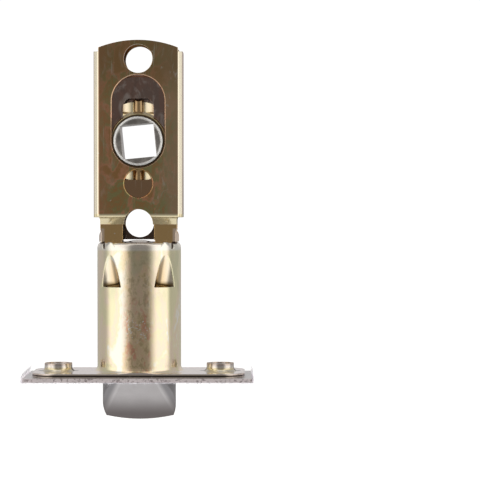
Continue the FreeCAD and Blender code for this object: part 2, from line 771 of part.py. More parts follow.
def make_bolt_spring():
    """A coil spring from the bolt's pocket to its seat, with both ends ground flat."""
    height = seat_low - pocket_floor
    helix = Part.makeHelix(height / spring_turns, height, spring_radius)
    wire = Part.Wire(helix.Edges)
    turn = 2 * math.pi / spring_wire_sides
    half = spring_wire / 2 / math.cos(turn / 2)
    corners = [V(spring_radius + half * math.cos(turn * (side + 0.5)), 0,
                 half * math.sin(turn * (side + 0.5))) for side in range(spring_wire_sides)]
    section = Part.makePolygon(corners + corners[:1])
    coil = wire.makePipeShell([section], True, True)
    coil.translate(V(0, 0, pocket_floor))
    return coil.common(rod_z(spring_radius + spring_wire, pocket_floor, seat_low))


os.makedirs("parts", exist_ok=True)
save("housing_tube", make_housing_tube())
save("faceplate", make_faceplate())
save("protective_film", make_protective_film())
save("case_front", make_case_front())
save("case_back", make_case_back())
save("spring_seat", make_spring_seat())
save("bolt_spring", make_bolt_spring())
save("hub_carriage", make_hub_carriage())
save("spindle_hub", make_spindle_hub())
save("cam_front", make_cam_front())
save("cam_back", make_cam_back())
save("bolt_head", make_bolt_head())
save("tail_bar_left", make_tail_bar_left())
save("tail_bar_right", make_tail_bar_right())
save("lift_pins", make_lift_pins())
save("tail_rivets", make_tail_rivets())
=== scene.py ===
# %% [markdown]
# # Dressing a tubular door latch
# The latch comes in as a fixed frame of metal pieces, each at its real size and in metres.
# This lesson keeps their shapes and gives each a finish. It adds what a plain solid can't show
# well: a round-wire spring, and the torn film on the faceplate with its loose threads.
# Last come the floor, the light and the camera.

import math

import bpy
import numpy as np
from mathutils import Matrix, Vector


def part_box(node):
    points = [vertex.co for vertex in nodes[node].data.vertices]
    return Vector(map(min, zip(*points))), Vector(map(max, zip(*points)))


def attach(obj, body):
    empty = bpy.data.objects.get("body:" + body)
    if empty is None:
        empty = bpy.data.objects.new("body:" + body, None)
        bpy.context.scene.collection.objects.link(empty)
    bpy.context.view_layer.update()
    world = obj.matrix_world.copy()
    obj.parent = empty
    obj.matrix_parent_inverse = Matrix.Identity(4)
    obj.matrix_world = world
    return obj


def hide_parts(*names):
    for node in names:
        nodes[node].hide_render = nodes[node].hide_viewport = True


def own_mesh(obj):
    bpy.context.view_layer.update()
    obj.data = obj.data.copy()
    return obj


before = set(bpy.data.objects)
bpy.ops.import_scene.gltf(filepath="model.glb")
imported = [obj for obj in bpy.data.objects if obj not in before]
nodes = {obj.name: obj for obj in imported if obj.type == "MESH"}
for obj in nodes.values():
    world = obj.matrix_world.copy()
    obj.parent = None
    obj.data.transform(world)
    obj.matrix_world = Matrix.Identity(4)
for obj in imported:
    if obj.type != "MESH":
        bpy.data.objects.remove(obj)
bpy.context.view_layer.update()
MM = 0.001
print("pieces in the frame:", len(nodes))

# %% [markdown]
# ## Shader maths as Python
# Node trees are hard to read when each sum is three lines of links. A small wrapper round a
# socket lets us write mask * 0.3 + 0.1, and Python adds the Math nodes for us.
# The reflected forms make 1 - mask work as well.

# %% A socket that does sums
class Value:
    """A shader number: each Python operator on it adds one Math node to the same tree."""

    def __init__(self, finish, socket):
        self.finish = finish
        self.socket = socket

    def maths(self, operation, *values):
        node = self.finish.node("Math", {"operation": operation}, dict(enumerate(values)))
        return Value(self.finish, node.outputs[0])

    def __add__(self, other):
        return self.maths("ADD", self, other)

    def __sub__(self, other):
        return self.maths("SUBTRACT", self, other)

    def __rsub__(self, other):
        return self.maths("SUBTRACT", other, self)

    def __mul__(self, other):
        return self.maths("MULTIPLY", self, other)

    def __neg__(self):
        return self * -1.0

    __radd__ = __add__
    __rmul__ = __mul__

    def size(self):
        """The number without its sign."""
        return self.maths("ABSOLUTE", self)

    def above_zero(self):
        """The number where it is positive, and 0 elsewhere."""
        return self.maths("MAXIMUM", self, 0.0)

    def root(self):
        """The square root."""
        return self.maths("SQRT", self)

    def step(self, low, high):
        """0 below low, 1 above high, and a smooth slope between them."""
        settings = {"interpolation_type": "SMOOTHSTEP"}
        values = {"Value": self, "From Min": low, "From Max": high}
        return Value(self.finish, self.finish.node("MapRange", settings, values).outputs[0])

    def within(self, low, high, soft):
        """1 between low and high, falling to 0 over a soft border on both sides."""
        return self.step(low - soft, low) * (1 - self.step(high, high + soft))


def distance(first, second):
    """The root of the sum of two squares: how far two offsets at right angles lead."""
    return (first * first + second * second).root()


print("a Value also has", ", ".join(name for name in vars(Value) if name[0] != "_"))

# %% [markdown]
# ## One method for every other node
# A finish is a material and its tree. Its node method takes a node's type, the settings that
# must be there first, and then a value or a link for each socket. A ramp's stops are a setting.
# Colours are mixed with a Mix node, because a Math node would turn them grey. A Mix node has a
# set of sockets for each kind of data under the same names, so those for colours go by number.

# %% A finish and its nodes
MIX_COLOURS = (6, 7)
MIX_RESULT = 2


class Finish:
    """A node tree, with one method that adds any node and a few short recipes on top."""

    def __init__(self, owner):
        owner.use_nodes = True
        self.owner = owner
        self.tree = owner.node_tree
        self.tree.nodes.clear()

    def node(self, kind, settings=None, values=None):
        """Add a node of a kind, with its settings first and then its sockets."""
        made = self.tree.nodes.new("ShaderNode" + kind)
        for name, setting in (settings or {}).items():
            if name == "stops":
                self.fill_ramp(made.color_ramp, setting)
            else:
                setattr(made, name, setting)
        for name, value in (values or {}).items():
            if isinstance(value, Value):
                value = value.socket
            if isinstance(value, bpy.types.NodeSocket):
                self.tree.links.new(value, made.inputs[name])
            else:
                made.inputs[name].default_value = value
        return made

    def fill_ramp(self, ramp, stops):
        while len(ramp.elements) < len(stops):
            ramp.elements.new(1.0)
        for element, (place, colour) in zip(ramp.elements, stops):
            element.position = place
            element.color = (*colour, 1.0)

    def axes(self, output="Object", scale=1 / MM):
        """The three coordinates as values, in millimetres on a piece."""
        point = self.node("TexCoord").outputs[output]
        parts = self.node("SeparateXYZ", {}, {0: point})
        return [Value(self, socket) * scale for socket in parts.outputs]

    def noise(self, size, detail=3.0, roughness=0.5, bend=0.0, stretch=(1.0, 1.0, 1.0), seed=0.0):
        """Cloudy noise round 0.5: patches of a size in millimetres, longer along an axis
        whose stretch is above 1. The seed moves the pattern to another place."""
        values = {"Vector": self.node("TexCoord").outputs["Object"],
                  "Scale": tuple(1 / share for share in stretch),
                  "Location": (seed, seed * 0.61, seed * 1.37)}
        point = self.node("Mapping", {}, values).outputs[0]
        values = {"Vector": point, "Scale": 1 / (size * MM), "Detail": detail,
                  "Roughness": roughness, "Distortion": bend}
        return Value(self, self.node("TexNoise", {}, values).outputs[0])

    def ramp(self, value, stops):
        return self.node("ValToRGB", {"stops": stops}, {"Fac": value}).outputs["Color"]

    def mix(self, share, first, second):
        """A colour mixed from two, by a share of the second."""
        first = (*first, 1.0) if isinstance(first, tuple) else first
        second = (*second, 1.0) if isinstance(second, tuple) else second
        values = {0: share, MIX_COLOURS[0]: first, MIX_COLOURS[1]: second}
        return self.node("Mix", {"data_type": "RGBA"}, values).outputs[MIX_RESULT]

    def bump(self, height, strength, depth, normal=None):
        """A normal from a height: depth is the relief in metres where the height is 1."""
        values = {"Height": height, "Strength": strength, "Distance": depth}
        if normal is not None:
            values["Normal"] = normal
        return self.node("Bump", {}, values).outputs[0]

    def soft_edge(self, radius):
        """A normal that rounds off sharp edges, as a punched or ground edge really is."""
        return self.node("Bevel", {"samples": 6}, {"Radius": radius}).outputs[0]

    def surface(self, **values):
        """The closing shader; underscores in a name stand for the spaces in a socket's name."""
        named = {name.replace("_", " "): value for name, value in values.items()}
        shader = self.node("BsdfPrincipled", {}, named)
        self.node("OutputMaterial", {}, {"Surface": shader.outputs[0]})
        return self.owner


print("a Finish has", ", ".join(name for name in vars(Finish) if name[0] != "_"))

# %% [markdown]
# ## From a finish to a piece
# A finish starts as an empty material. A frame piece keeps its mesh and its slots, and only
# what is in the slots changes. Soft noise has few values near 0 and 1, so a ramp's colours are
# spread over the middle of it.

# %% New finishes and dressed pieces
def new_finish(name):
    return Finish(bpy.data.materials.new(name))


def dress(node, material):
    """Give a frame piece its finish through the slots that it already has."""
    mesh = nodes[node].data
    if not mesh.materials:
        mesh.materials.append(material)
    for slot in range(len(mesh.materials)):
        mesh.materials[slot] = material
    print(node, "wears", material.name)


FIRST_STOP = 0.37
LAST_STOP = 0.63


def even_stops(*colours):
    """A ramp's stops at even distances from the first to the last."""
    gap = (LAST_STOP - FIRST_STOP) / (len(colours) - 1)
    return [(FIRST_STOP + gap * index, colour) for index, colour in enumerate(colours)]


print("ramp colours from", FIRST_STOP, "to", LAST_STOP)

# %% [markdown]
# ## Yellow zinc
# The pressed steel parts are zinc plated and passivated yellow. The film of chromate is so thin
# that it shows interference: straw, olive, rose and grey areas drift over one sheet, drawn out
# along the length in which the sheet was pulled. On top lie hair scratches, a few pale flecks
# where the coat is thin, and a very slight unevenness that makes reflections waver.

# %% Colours of the plating
STRAW = (0.95, 0.84, 0.58)
GOLD = (0.93, 0.66, 0.31)
OLIVE = (0.44, 0.40, 0.18)
BROWN = (0.56, 0.31, 0.13)
ROSE = (0.80, 0.40, 0.23)
PALE = (0.97, 0.93, 0.84)
# The darkest tone serves only as painted shadow in recesses and gaps.
PAINTED_SHADOW = (0.10, 0.075, 0.06)
print("lightest plating", PALE, "and darkest", PAINTED_SHADOW)

# %% [markdown]
# One recipe serves all these parts. Its patterns are noise drawn out along Z. A shade function,
# which takes the finish and the colour so far and gives the colour back, then adds what is
# particular to a part. Its masks read the piece's own coordinates in millimetres.

# %% The plating recipe
WAVE_DEPTH = 0.05 * MM
MOTTLE_DEPTH = 0.018 * MM


def tall(share):
    """The stretch of a pattern that is longer along Z than it is wide."""
    return (1.0, 1.0, share)


def plated(name, colours, wide, shine, scratches=1.0, edge=0.15, seed=0.0, shade=None,
           relief=None):
    """Zinc plate: areas are wide (mm) and twice as tall, shine is the roughness, edge is the
    rounding of corners (mm), and relief gives an extra height in millimetres."""
    zinc = new_finish(name)
    drift = zinc.noise(wide, 3.0, 0.5, 0.9, tall(2.0), seed)
    mottle = zinc.noise(0.9, 2.0, 0.5, 0.0, tall(1.4), seed)
    colour = zinc.ramp(drift + (mottle - 0.5) * 0.16, even_stops(*colours))
    if shade is not None:
        colour = shade(zinc, colour)
    worn = zinc.noise(7.0, 2.0, 0.5, 0.0, tall(2.0), seed + 5.0).step(0.5, 0.6)
    hairs = zinc.noise(0.5, 2.0, 0.5, 0.0, tall(26.0), seed + 3.0)
    scratch = hairs.step(0.64, 0.70) * worn * scratches
    specks = zinc.noise(0.8, 1.0, 0.4, 0.0, seed=seed + 7.0)
    fleck = specks.step(0.72, 0.76) * worn * scratches
    colour = zinc.mix(scratch * 0.4 + fleck * 0.6, colour, PALE)
    grain = zinc.noise(0.22, 3.0, 0.6)
    roughness = (drift - 0.5) * 0.10 + (grain - 0.5) * 0.08 + scratch * 0.14 + shine
    waves = zinc.noise(4.5, 2.0, 0.5, 0.0, tall(1.6), seed)
    normal = zinc.bump(waves, 0.5, WAVE_DEPTH, zinc.soft_edge(edge * MM))
    normal = zinc.bump(mottle, 0.35, MOTTLE_DEPTH, normal)
    if relief is not None:
        normal = zinc.bump(relief(zinc), 1.0, MM, normal)
    return zinc.surface(Base_Color=colour, Metallic=1.0, Roughness=roughness, Normal=normal)


print("a scratch is drawn out", tall(26.0), "and a drift of colour", tall(2.0))

# %% [markdown]
# The drawn tube is the brightest: straw with hints of green and rose. Down its front runs a
# speckled olive band, with broken red patches low on it, from the heat of the drawing die, and
# flecks that are rubbed bare above the flange.

# %% The tube's front band
BAND_SPECKLE = even_stops((0.62, 0.47, 0.25), (0.92, 0.72, 0.44), (0.90, 0.64, 0.43))
RED_PATCH = (0.88, 0.44, 0.30)
RUBBED_BARE = (1.0, 1.0, 0.98)


def band_shade(zinc, colour, x, y, z):
    """The band is the part of the front within a few millimetres of the middle."""
    band = (1 - x.size().step(2.0, 4.4)) * (-y).step(7.0, 9.5)
    speckle = zinc.noise(0.9, 3.0, 0.6, 0.5, tall(1.5), 3.1)
    colour = zinc.mix(band * 0.8, colour, zinc.ramp(speckle, BAND_SPECKLE))
    broken = zinc.noise(1.9, 4.0, 0.65, 0.8, tall(2.0), 1.3).step(0.50, 0.62)
    low = 1 - z.step(14.0, 24.0)
    colour = zinc.mix(band * broken * low * 0.8, colour, RED_PATCH)
    flecks = zinc.noise(0.8, 2.0, 0.5, 1.5, seed=4.4).step(0.60, 0.68)
    return zinc.mix(band * (flecks * z.within(10.5, 15.0, 1.5)), colour, RUBBED_BARE)


print("band colours", [colour for _, colour in BAND_SPECKLE])

# %% [markdown]
# High on the tube the straw turns greener. Its rounded end is painted pale, a painted highlight,
# and the crown on top is painted greyer, a painted reflection. The four lanced dents are bowls
# with painted shading: brown beside their straight inner edge, straw further out, and a painted
# shadow at the foot. The crimps near the top and the deep ring at the foot carry dark painted
# shadow.

# %% The tube's end and its dents
INSIDE_TUBE = 10.4
TUBE_TOP_Z = 33.0
DENT_INNER_X = 4.6
DENT_LOW_Z, DENT_HIGH_Z = 23.0, 31.8
GREEN_STRAW = (0.66, 0.66, 0.46)
PALE_END_HIGHLIGHT = (0.97, 0.95, 0.91)
GREY_CROWN_REFLECTION = (0.62, 0.56, 0.50)
BOWL_SHADING = [(0.05, (0.36, 0.25, 0.13)), (0.35, (0.84, 0.64, 0.40)), (0.75, (0.97, 0.86, 0.68))]
BOWL_FOOT_SHADOW = (0.30, 0.22, 0.12)


def end_shade(zinc, colour, x, z):
    green = zinc.noise(5.0, 2.0, 0.5, 0.0, tall(2.0), 2.2).step(0.5, 0.62)
    colour = zinc.mix(green * z.step(18.0, 24.0) * 0.5, colour, GREEN_STRAW)
    # A painted highlight on the rounded end, and a grey painted reflection on the crown.
    colour = zinc.mix(z.step(TUBE_TOP_Z - 0.7, TUBE_TOP_Z) * 0.7, colour, PALE_END_HIGHLIGHT)
    crown = z.step(TUBE_TOP_Z, TUBE_TOP_Z + 0.8) * (1 - x.size().step(2.5, 6.0))
    return zinc.mix(crown * 0.6, colour, GREY_CROWN_REFLECTION)


def dent_shade(zinc, colour, x, y, z):
    """A spot is sunk where it is nearer to the tube's axis than the tube's wall is."""
    sunk = (1 - distance(x, y).step(INSIDE_TUBE - 0.15, INSIDE_TUBE)) * z.step(2.2, 2.4)
    # The bowl's ramp is painted shading, and its darker foot is a painted shadow.
    bowl = zinc.ramp((x.size() - DENT_INNER_X) * 0.25, BOWL_SHADING)
    bowl = zinc.mix(1 - z.step(DENT_LOW_Z + 1.0, DENT_LOW_Z + 2.2), bowl, BOWL_FOOT_SHADOW)
    colour = zinc.mix(sunk * z.within(DENT_LOW_Z, DENT_HIGH_Z, 0.2), colour, bowl)
    # Dark painted shadow under the crimps and in the ring at the foot.
    crimp = z.step(TUBE_TOP_Z - 0.3, TUBE_TOP_Z - 0.1) * x.size().within(8.4, 9.6, 0.2)
    return zinc.mix(sunk * (crimp + 1 - z.step(6.0, 6.5)), colour, PAINTED_SHADOW)


print("dents from z", DENT_LOW_Z, "to", DENT_HIGH_Z, "mm, under the tube's end at", TUBE_TOP_Z)

# %% [markdown]
# The flange is greyer than the tube, with a brown rim and a painted shadow line under it, where
# it lies on the faceplate. The screw collars are banded in gold and grey, partly a painted
# highlight, and the slots on both sides of each collar are painted dark as shadow. The distance
# from a collar's axis places them all.

# %% The flange's shade
COLLAR_X = 20.5
FLANGE_GREY = (0.97, 0.91, 0.89)
RIM_BROWN = (0.54, 0.45, 0.38)
SEAM_SHADOW = (0.04, 0.03, 0.022)
COLLAR_BANDS_AND_HIGHLIGHT = [(0.08, (0.80, 0.74, 0.62)), (0.25, (0.84, 0.72, 0.44)),
                (0.45, (0.90, 0.84, 0.76)), (0.66, (0.66, 0.58, 0.55)),
                (0.86, (0.66, 0.50, 0.36))]


def flange_shade(zinc, colour, x, y, z):
    """The flange and its two collars, by the distance from the nearer collar's axis."""
    collar = distance(x.size() - COLLAR_X, y)
    on_collar = 1 - collar.step(4.4, 5.0)
    flat = (1 - z.step(2.1, 2.4)) * (1 - on_collar)
    colour = zinc.mix(flat * 0.85, colour, FLANGE_GREY)
    rim = 1 - z.step(1.86, 1.98)
    colour = zinc.mix(rim * 0.85, colour, RIM_BROWN)
    # Painted shadow along the line where the flange meets the faceplate.
    colour = zinc.mix(z.within(1.28, 1.56, 0.06), colour, SEAM_SHADOW)
    ragged = zinc.noise(0.8, 3.0, 0.6, 0.6)
    # Bands by height; the pale band is partly a painted highlight on the collar.
    bands = zinc.ramp((z - 2.0) * 0.4 + (ragged - 0.5) * 0.3, COLLAR_BANDS_AND_HIGHLIGHT)
    colour = zinc.mix(on_collar * (1 - rim) * (1 - z.step(5.5, 6.0)), colour, bands)
    # Painted shadow in the ragged slots beside each collar.
    ring = (collar + (ragged - 0.5) * 2.4).within(3.1, 5.0, 0.2)
    torn = ring * (1 - (y.size() + ragged).step(1.5, 1.9))
    return zinc.mix(torn * z.within(1.97, 3.4, 0.04), colour, PAINTED_SHADOW)


print("collars at x", -COLLAR_X, "and", COLLAR_X, "mm")

# %% The tube is dressed
PALE_GREEN = (0.90, 0.84, 0.56)
PEACH = (0.96, 0.80, 0.64)


def tube_shade(zinc, colour):
    x, y, z = zinc.axes()
    colour = band_shade(zinc, colour, x, y, z)
    colour = end_shade(zinc, colour, x, z)
    colour = dent_shade(zinc, colour, x, y, z)
    return flange_shade(zinc, colour, x, y, z)


dress("housing_tube", plated("tube_zinc", [PALE_GREEN, STRAW, PEACH, STRAW, PALE], wide=7.0,
                             shine=0.16, scratches=0.5, edge=0.45, seed=0.3, shade=tube_shade))

# %% [markdown]
# The case is darker: brown and olive on its broad face, redder towards the sides, greyer on the
# right and smoky at the top. Pale clouds lie on its right side, above and below the hub.

# %% The case's broad face
SIDE_RED = (0.66, 0.34, 0.19)
RIGHT_GREY = (0.58, 0.48, 0.31)
SMOKY_TOP = (0.36, 0.23, 0.11)
PALE_CLOUD = (0.94, 0.92, 0.86)


def face_shade(zinc, colour, x, z):
    """The drift of a slow noise, in millimetres, keeps the borders of these areas uneven."""
    drift = zinc.noise(5.0, 3.0, 0.55, 1.0, tall(1.6), 4.0) - 0.5
    colour = zinc.mix((x.size() + drift * 9.0).step(6.0, 10.0) * 0.6, colour, SIDE_RED)
    colour = zinc.mix((x + drift * 14.0).step(2.5, 8.0) * 0.55, colour, RIGHT_GREY)
    colour = zinc.mix(z.step(68.0, 80.0) * 0.6, colour, SMOKY_TOP)
    smoke = zinc.noise(3.2, 4.0, 0.6, 1.4, tall(1.5), 6.0).step(0.55, 0.72)
    clouded = x.step(-2.0, 7.0) * (1 - z.within(52.0, 64.0, 6.0))
    return zinc.mix(smoke * (clouded * 0.4 + 0.14), colour, PALE_CLOUD)


print("face from", SIDE_RED, "at the sides to", SMOKY_TOP, "at the top")

# %% [markdown]
# Round the bends a light painted highlight is laid on. The legs below the step are a warm gold
# brown with pink corners, and the step itself carries a bright painted highlight. Behind the gap
# between the front legs the back leg lies in shadow. Along the punched rim of the long window runs
# a rosy painted highlight.

# %% The case's bends, legs and window
BEND_HIGHLIGHT = (0.98, 0.90, 0.72)
SIDE_PINK = (0.70, 0.46, 0.38)
LEG_GOLD = (0.74, 0.49, 0.22)
STEP_HIGHLIGHT = (0.96, 0.84, 0.56)
CORNER_PINK = (0.99, 0.80, 0.64)
SHADOW = (0.12, 0.08, 0.06)
ROSY_RIM_HIGHLIGHT = (0.88, 0.58, 0.42)
HUB_Z = 60.0
WINDOW_TOP_Z = 70.0
WINDOW_RADIUS = 6.6


def bend_shade(zinc, colour, x, y):
    bend = y.size().step(3.6, 4.6)
    # A painted highlight round the bends.
    colour = zinc.mix(bend * x.size().step(9.7, 10.2), colour, BEND_HIGHLIGHT)
    return zinc.mix(bend * x.size().step(10.95, 11.1) * 0.7, colour, SIDE_PINK)


def leg_shade(zinc, colour, x, y, z):
    colour = zinc.mix(1 - z.step(38.6, 39.6), colour, LEG_GOLD)
    # A painted highlight on the step.
    colour = zinc.mix(z.within(39.3, 41.6, 0.3), colour, STEP_HIGHLIGHT)
    wings = (1 - z.step(37.8, 38.4)) * x.size().step(8.3, 9.0)
    colour = zinc.mix(wings, colour, CORNER_PINK)
    behind = y.step(0.0, 0.5) * (1 - z.step(38.0, 39.5)) * (1 - x.size().step(4.2, 4.6))
    return zinc.mix(behind, colour, SHADOW)


def window_shade(zinc, colour, x, z):
    """The window is a slot, so the distance is from the line between its two centres."""
    past_centres = (HUB_Z - z).above_zero() + (z - WINDOW_TOP_Z).above_zero()
    rim = distance(x, past_centres).within(WINDOW_RADIUS - 0.3, WINDOW_RADIUS + 0.22, 0.1)
    # A rosy painted highlight along the window's rim.
    return zinc.mix(rim * 0.6, colour, ROSY_RIM_HIGHLIGHT)


print("window from z", HUB_Z - WINDOW_RADIUS, "to", WINDOW_TOP_Z + WINDOW_RADIUS, "mm")

# %% The case is dressed
def case_shade(zinc, colour):
    x, y, z = zinc.axes()
    colour = face_shade(zinc, colour, x, z)
    colour = bend_shade(zinc, colour, x, y)
    colour = leg_shade(zinc, colour, x, y, z)
    return window_shade(zinc, colour, x, z)


def case_relief(zinc):
    """The sheet starts to lean before its bends: a drop that grows as the square of the way in."""
    x, _, z = zinc.axes()
    side = (x.size() - 9.5).above_zero() * (1 - x.size().step(10.4, 10.8))
    foot = (41.9 - z).above_zero() * z.step(40.6, 40.9)
    return (side * side + foot * foot) * -0.35


case_zinc = plated("case_zinc", [OLIVE, BROWN, OLIVE, ROSE, BROWN], wide=4.0, shine=0.14,
                   edge=0.2, seed=1.1, shade=case_shade, relief=case_relief)
for node in ("case_front", "case_back"):
    dress(node, case_zinc)

# %% [markdown]
# The carriage behind the window is a dark, smoky purple brown, with pale clouds painted on as
# reflections, and its foot is a warmer brown.

# %% The carriage
SMOKY_PURPLE = [(0.26, 0.18, 0.15), (0.33, 0.21, 0.17), (0.29, 0.21, 0.18)]
CLOUD_REFLECTION_GREY = (0.74, 0.68, 0.64)
FOOT_BROWN = (0.42, 0.26, 0.15)


def carriage_shade(zinc, colour):
    _, _, z = zinc.axes()
    cloud = zinc.noise(3.0, 4.0, 0.62, 1.6, tall(1.6), 2.0).step(0.50, 0.72)
    # Pale painted reflections in clouds.
    colour = zinc.mix(cloud * 0.55, colour, CLOUD_REFLECTION_GREY)
    return zinc.mix(1 - z.step(54.0, 60.0), colour, FOOT_BROWN)


dress("hub_carriage", plated("carriage_zinc", SMOKY_PURPLE, wide=5.0, shine=0.16, scratches=0.6,
                             edge=0.2, seed=0.7, shade=carriage_shade))

# %% [markdown]
# The cams and the inner bars have had no wear and are a clean gold. An arm's rib is painted a
# browner gold as painted shade, and the collar that turns in the carriage is painted dark as
# shadow, with a thin gold painted highlight at its outer edge.

# %% The cams and the inner bars
CLEAN_GOLD = [(0.96, 0.86, 0.60), STRAW, (0.96, 0.82, 0.62), STRAW]
RIB_SHADE = (0.56, 0.38, 0.20)
COLLAR_SHADOW_AND_GLINT = [(0.25, (0.14, 0.10, 0.06)), (0.62, (0.20, 0.14, 0.08)), (0.78, (0.86, 0.74, 0.44))]


def cam_shade(zinc, colour):
    """A colour by the distance from the middle plane, then one by that from the hub's axis."""
    x, _, z = zinc.axes()
    # Painted shade on the rib.
    colour = zinc.mix(1 - x.size().step(0.9, 1.5), colour, RIB_SHADE)
    reach = distance(x, z - HUB_Z)
    # A painted shadow ring on the collar, with a painted gold highlight at its edge.
    return zinc.mix(1 - reach.step(6.88, 6.98), colour, zinc.ramp(reach - 6.0, COLLAR_SHADOW_AND_GLINT))


def cam_relief(zinc):
    """Both webs of an arm are cupped: they rise again away from its rib."""
    x, _, z = zinc.axes()
    return (x.size() - 1.7).above_zero() * (z - HUB_Z).size().step(6.8, 7.4) * 0.16


cam_zinc = plated("cam_zinc", CLEAN_GOLD, wide=4.0, shine=0.28, scratches=0.3, edge=0.25,
                  seed=1.9, shade=cam_shade, relief=cam_relief)
bar_zinc = plated("bar_zinc", [OLIVE, GOLD, STRAW, GOLD], wide=5.0, shine=0.2, scratches=0.8,
                  seed=2.9)
for node in ("cam_front", "cam_back"):
    dress(node, cam_zinc)
for node in ("spring_seat", "tail_bar_left", "tail_bar_right"):
    dress(node, bar_zinc)

# %% [markdown]
# ## Bright zinc, satin nickel and stainless steel
# The hub and the pins are bright zinc: silvery and a little grainy. The hub's rim is rounded and
# painted near-white as a painted highlight, and the rest, with its sunken floor, is a darker grey,
# partly dull zinc and partly painted shade.

# %% Bright zinc
HUB_RIM_Y = 6.2
HUB_RIM_RADIUS = 5.62
RIM_HIGHLIGHT = (1.0, 0.99, 0.97)
PIT_GREY = (0.36, 0.35, 0.33)


def hub_zinc():
    """Silvery barrel plating. The rim's relief falls as the square of the way from its crest."""
    plate = new_finish("hub_zinc")
    x, y, z = plate.axes()
    reach = distance(x, z - HUB_Z)
    across = reach - HUB_RIM_RADIUS
    rim = y.size().step(HUB_RIM_Y - 0.5, HUB_RIM_Y - 0.25) * reach.step(5.2, 5.4)
    cloud = plate.noise(2.2, 4.0, 0.6, 0.4)
    pits = plate.noise(0.35, 2.0, 0.5)
    # Darker grey off the rim: dull zinc and painted shade.
    dull_and_shade = plate.ramp(cloud, [(0.35, (0.34, 0.32, 0.30)), (0.65, (0.60, 0.57, 0.54))])
    # The rim painted near-white: a painted highlight.
    colour = plate.mix(rim, dull_and_shade, RIM_HIGHLIGHT)
    colour = plate.mix(pits.step(0.60, 0.72) * 0.35, colour, PIT_GREY)
    normal = plate.bump(cloud * 0.5 + pits * 0.5, 0.3, 0.02 * MM, plate.soft_edge(0.4 * MM))
    normal = plate.bump(rim * across * across * -1.1, 1.0, MM, normal)
    return plate.surface(Base_Color=colour, Metallic=1.0, Normal=normal,
                         Roughness=rim * 0.16 + (pits - 0.5) * 0.2 + 0.32)


def pin_zinc():
    """Plain bright zinc on turned pins, with small dull spots."""
    plate = new_finish("pin_zinc")
    spots = plate.noise(0.6, 3.0, 0.6)
    colour = plate.ramp(spots, [(0.4, (0.82, 0.81, 0.80)), (0.66, (0.50, 0.49, 0.47))])
    return plate.surface(Base_Color=colour, Metallic=1.0, Roughness=spots * 0.3 + 0.15,
                         Normal=plate.bump(spots, 0.3, 0.02 * MM, plate.soft_edge(0.1 * MM)))


dress("spindle_hub", hub_zinc())
pins = pin_zinc()
for node in ("lift_pins", "tail_rivets"):
    dress(node, pins)

# %% [markdown]
# The bolt is cast, tumbled and nickel plated, so its satin has no direction. Its flanks beside
# the bevel are painted darker as shade, with a painted light line where they meet it, and its
# tip is painted darker as shade.

# %% Satin nickel
FLANK_SHADE = (0.28, 0.27, 0.28)
EDGE_HIGHLIGHT = (0.86, 0.84, 0.84)
TIP_SHADE = (0.19, 0.165, 0.16)
GRAIN_DARK = (0.30, 0.28, 0.28)


def satin_nickel():
    """Tumbled nickel. The bevel's edge slants, so its mask is a sum of the width and height."""
    satin = new_finish("satin_nickel")
    x, _, z = satin.axes()
    grain = satin.noise(0.16, 3.0, 0.7)
    cloud = satin.noise(6.0, 3.0, 0.5)
    colour = satin.ramp(cloud, [(0.3, (0.60, 0.57, 0.57)), (0.7, (0.70, 0.67, 0.67))])
    past_bevel = x.size() + z * 0.5 - 4.6
    # Painted shade on the flanks, a painted highlight along the bevel's edge, painted shade at the
    # tip.
    colour = satin.mix(past_bevel.step(-0.2, 1.2) * 0.8, colour, FLANK_SHADE)
    colour = satin.mix(past_bevel.within(-0.5, -0.2, 0.3) * 0.3, colour, EDGE_HIGHLIGHT)
    colour = satin.mix((-z).step(3.2, 9.6) * 0.95, colour, TIP_SHADE)
    colour = satin.mix(grain.step(0.45, 0.75) * 0.25, colour, GRAIN_DARK)
    normal = satin.bump(grain, 0.35, 0.012 * MM, satin.soft_edge(0.35 * MM))
    return satin.surface(Base_Color=colour, Metallic=1.0, Normal=normal,
                         Roughness=(grain - 0.5) * 0.14 + (cloud - 0.5) * 0.1 + 0.38)


dress("bolt_head", satin_nickel())

# %% [markdown]
# The faceplate is rolled sheet, brushed along its length: noise stretched forty times gives the
# hairlines. Its sheared edges are rough and pinkish, with a torn burr.

# %% Brushed stainless steel
PLATE_HALF_LENGTH = 28.5
PLATE_HALF_WIDTH = 12.5
ALONG_X = (40.0, 1.0, 1.0)
SHEARED_PINK = (0.97, 0.90, 0.91)
BURR_DARK = (0.42, 0.35, 0.36)


def brushed_stainless():
    """Hairlines on the faces, and roughness on the last tenth of a millimetre of each side."""
    sheet = new_finish("brushed_stainless")
    x, y, _ = sheet.axes()
    sides = y.size().step(PLATE_HALF_WIDTH - 0.12, PLATE_HALF_WIDTH - 0.04)
    ends = x.size().step(PLATE_HALF_LENGTH - 0.12, PLATE_HALF_LENGTH - 0.04)
    sheared = sides + ends * (1 - sides)
    hairs = sheet.noise(0.24, 3.0, 0.65, 0.0, ALONG_X)
    burr = sheet.noise(0.55, 3.0, 0.65, 0.6, (1.6, 1.0, 1.0))
    smudge = sheet.noise(7.0, 3.0, 0.5)
    colour = sheet.ramp(hairs, [(0.3, (0.62, 0.61, 0.61)), (0.7, (0.82, 0.815, 0.81))])
    colour = sheet.mix(sheared * 0.9, colour, SHEARED_PINK)
    colour = sheet.mix(sheared * burr.step(0.50, 0.64) * 0.8, colour, BURR_DARK)
    normal = sheet.bump(hairs + sheared * burr * 3.0, 0.25, 0.012 * MM,
                        sheet.soft_edge(0.1 * MM))
    roughness = (hairs - 0.5) * 0.18 + smudge * 0.1 + sheared * 0.42 + 0.24
    return sheet.surface(Base_Color=colour, Metallic=1.0, Normal=normal, Roughness=roughness)


dress("faceplate", brushed_stainless())

